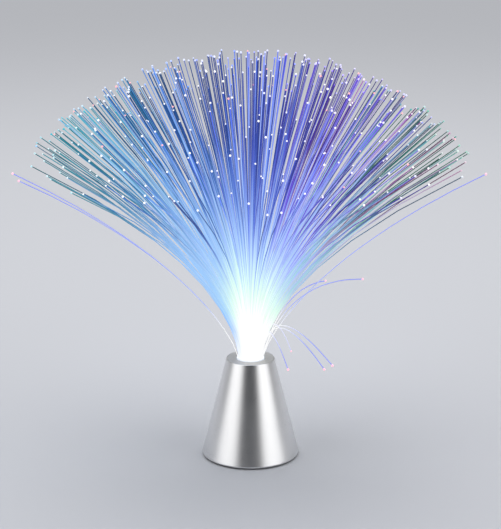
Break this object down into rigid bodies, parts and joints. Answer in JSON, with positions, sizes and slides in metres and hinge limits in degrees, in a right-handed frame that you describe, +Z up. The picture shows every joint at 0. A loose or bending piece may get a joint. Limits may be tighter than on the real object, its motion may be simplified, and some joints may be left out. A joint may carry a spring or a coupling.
{
  "type": "fiber optic lamp",
  "caption": "Battery-lit table lamp: a satin silver cone holds a lift-out fan of glowing plastic optical fibres, with a hinged battery door and a slide switch underneath.",
  "frame": {"origin": "centre of the surface that the lamp stands on, under the axis of the cone", "axes": "+Z up along the cone's axis, -Y towards the front, +X to the right, where the stray fibres arch out"},
  "size_m": [0.376, 0.3469, 0.3335],
  "materials": {
    "silver_shell": "satin silver coating with a fine brushed sheen",
    "black_plastic": "fine moulded texture",
    "grey_plastic": "smooth moulded",
    "white_plastic": "smooth moulded",
    "foot_rubber": "matte",
    "nickel": "nickel plated",
    "copper_strip": "bare phosphor bronze",
    "cell_jacket": "shrunk film",
    "board_green": "solder resist",
    "chip_black": "moulded epoxy",
    "resistor_tan": "lacquer",
    "led_red_lens": "lit tinted lens",
    "led_green_lens": "lit tinted lens",
    "led_blue_lens": "lit tinted lens",
    "diffuser": "frosted acrylic",
    "ferrule_clear": "milky sleeve, lit from inside",
    "fibre_glow": "clear plastic fibre, lit from its root to its tip",
    "wire_red": "wire insulation",
    "wire_black": "wire insulation",
    "wire_white": "wire insulation"
  },
  "bodies": {
    "root": {"base_housing": "silver_shell", "bottom_plate": "black_plastic", "rubber_feet": "foot_rubber", "base_screws": "nickel", "battery_1": "cell_jacket", "battery_2": "cell_jacket", "battery_3": "cell_jacket", "contact_negative": "nickel", "contact_positive": "nickel", "contact_link_right": "nickel", "contact_link_left": "nickel", "switch_frame": "nickel", "switch_base": "white_plastic", "switch_terminals": "nickel", "switch_screws": "nickel", "fibre_socket": "grey_plastic", "socket_screws": "nickel", "diffuser_lens": "diffuser", "led_board": "board_green", "board_screws": "nickel", "led_red": "led_red_lens", "led_green": "led_green_lens", "led_blue": "led_blue_lens", "controller_chip": "chip_black", "board_resistors": "resistor_tan", "wire_positive": "wire_red", "wire_negative": "wire_black", "wire_switched": "wire_white"},
    "door": {"battery_door": "black_plastic"},
    "switch": {"switch_slider": "black_plastic", "switch_bridge": "copper_strip"},
    "fibre_bundle": {"fibre_ferrule": "ferrule_clear", "fibre_spray": "fibre_glow"}
  },
  "joints": [
    {"name": "battery_door_hinge", "type": "hinge", "parent": "root", "child": "door", "pos_m": [0, -0.0178, 0.0026], "axis": [-1, 0, 0], "range_deg": [0, 85]},
    {"name": "switch_slide", "type": "slide", "parent": "root", "child": "switch", "axis": [-1, 0, 0], "range_m": [0, 0.004]},
    {"name": "bundle_lift", "type": "slide", "parent": "root", "child": "fibre_bundle", "axis": [0, 0, 1], "range_m": [0, 0.05]}
  ]
}
